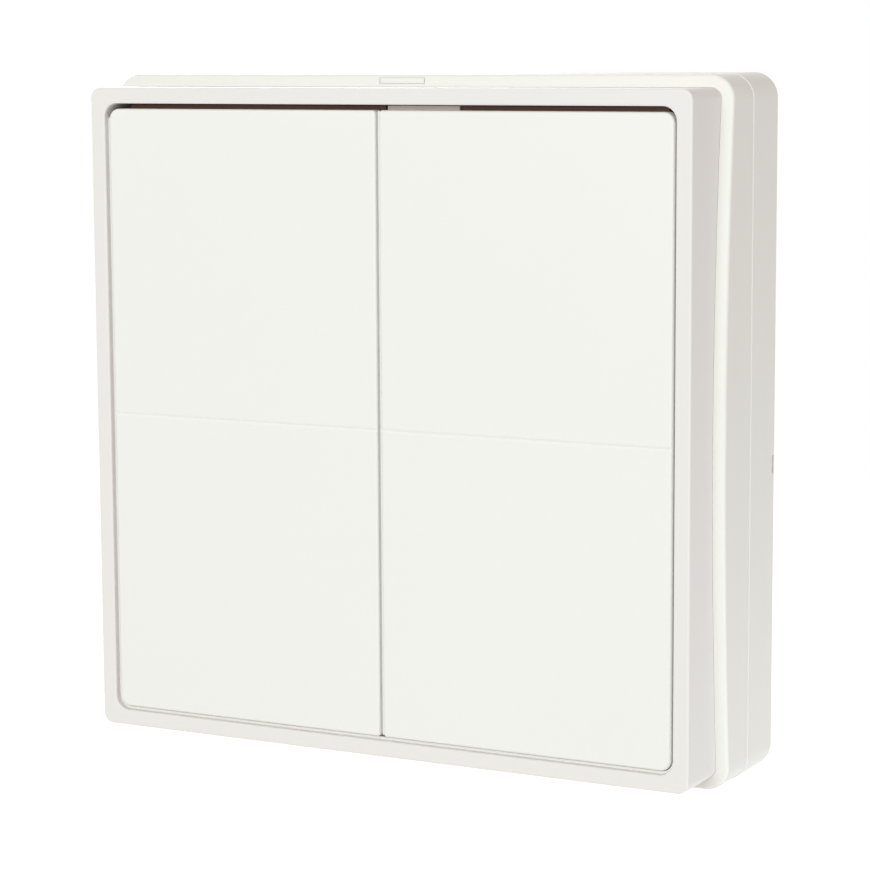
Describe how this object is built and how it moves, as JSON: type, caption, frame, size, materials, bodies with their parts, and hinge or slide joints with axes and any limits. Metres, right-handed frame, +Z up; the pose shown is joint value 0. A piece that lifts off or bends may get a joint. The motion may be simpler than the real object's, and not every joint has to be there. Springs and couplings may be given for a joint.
{
  "type": "wireless rocker remote",
  "caption": "Square wall remote in a surface-mounted housing: two side-by-side rockers, each with a dividing groove, tilt in a thin frame and press key switches on a battery-fed radio board.",
  "frame": {"origin": "middle of the flat back of the wall base, which lies on the wall", "axes": "+X to the viewer's right, +Y into the wall, +Z up; the rockers face -Y"},
  "size_m": [0.0832, 0.0224, 0.0832],
  "materials": {
    "rocker_white": "fine moulded satin, warm white",
    "housing_white": "fine moulded satin, warm white",
    "carrier_brown": "matt, dark brown-black",
    "board_green": "glass-epoxy with green solder mask",
    "switch_black": "moulded black thermoplastic",
    "stem_grey": "moulded grey thermoplastic",
    "cover_steel": "tinned sheet steel",
    "contact_steel": "nickel-plated spring steel",
    "screw_steel": "zinc-plated steel",
    "cell_steel": "satin stainless steel",
    "holder_black": "moulded black thermoplastic",
    "shield_tin": "tinned sheet steel",
    "chip_black": "moulded epoxy",
    "chip_ceramic": "sintered ceramic with tinned ends",
    "guide_clear": "frosted polycarbonate",
    "lamp_white": "resin-filled lamp"
  },
  "bodies": {
    "housing": {"board_screws": "screw_steel", "carrier_screws": "screw_steel", "cell_holder": "holder_black", "chip_aerial": "chip_ceramic", "chip_capacitors": "chip_ceramic", "chip_resistors": "chip_black", "circuit_board": "board_green", "coin_cell": "cell_steel", "crystal": "shield_tin", "front_frame": "rocker_white", "indicator_lamp": "lamp_white", "light_guide": "guide_clear", "negative_contact": "contact_steel", "positive_clip": "contact_steel", "radio_chip": "chip_black", "radio_module_board": "board_green", "rocker_carrier": "carrier_brown", "shield_can": "shield_tin", "surface_housing": "housing_white", "switch_base_lower_left": "switch_black", "switch_base_lower_right": "switch_black", "switch_base_upper_left": "switch_black", "switch_base_upper_right": "switch_black", "switch_cover_lower_left": "cover_steel", "switch_cover_lower_right": "cover_steel", "switch_cover_upper_left": "cover_steel", "switch_cover_upper_right": "cover_steel", "switch_dome_lower_left": "contact_steel", "switch_dome_lower_right": "contact_steel", "switch_dome_upper_left": "contact_steel", "switch_dome_upper_right": "contact_steel", "wall_base": "housing_white"},
    "left_rocker": {"left_rocker": "rocker_white"},
    "right_rocker": {"right_rocker": "rocker_white"},
    "upper_left_stem": {"switch_stem_upper_left": "stem_grey"},
    "lower_left_stem": {"switch_stem_lower_left": "stem_grey"},
    "upper_right_stem": {"switch_stem_upper_right": "stem_grey"},
    "lower_right_stem": {"switch_stem_lower_right": "stem_grey"}
  },
  "joints": [
    {"name": "left_rocker_tilt", "type": "hinge", "parent": "housing", "child": "left_rocker", "pos_m": [-0.01894, -0.0178, 0], "axis": [1, 0, 0], "range_deg": [-0.9, 0.9], "stiffness_Nm_per_rad": 3},
    {"name": "upper_left_stem_press", "type": "slide", "parent": "housing", "child": "upper_left_stem", "axis": [0, 1, 0], "range_m": [-0.00035, 0.00035]},
    {"name": "lower_left_stem_press", "type": "slide", "parent": "housing", "child": "lower_left_stem", "axis": [0, 1, 0], "range_m": [-0.00035, 0.00035]},
    {"name": "right_rocker_tilt", "type": "hinge", "parent": "housing", "child": "right_rocker", "pos_m": [0.01894, -0.0178, 0], "axis": [1, 0, 0], "range_deg": [-0.9, 0.9], "stiffness_Nm_per_rad": 3},
    {"name": "upper_right_stem_press", "type": "slide", "parent": "housing", "child": "upper_right_stem", "axis": [0, 1, 0], "range_m": [-0.00035, 0.00035]},
    {"name": "lower_right_stem_press", "type": "slide", "parent": "housing", "child": "lower_right_stem", "axis": [0, 1, 0], "range_m": [-0.00035, 0.00035]}
  ],
  "couplings": [
    {"joint": "upper_left_stem_press", "follows": "left_rocker_tilt", "m_per_rad": -0.022},
    {"joint": "lower_left_stem_press", "follows": "left_rocker_tilt", "m_per_rad": 0.022},
    {"joint": "upper_right_stem_press", "follows": "right_rocker_tilt", "m_per_rad": -0.022},
    {"joint": "lower_right_stem_press", "follows": "right_rocker_tilt", "m_per_rad": 0.022}
  ]
}
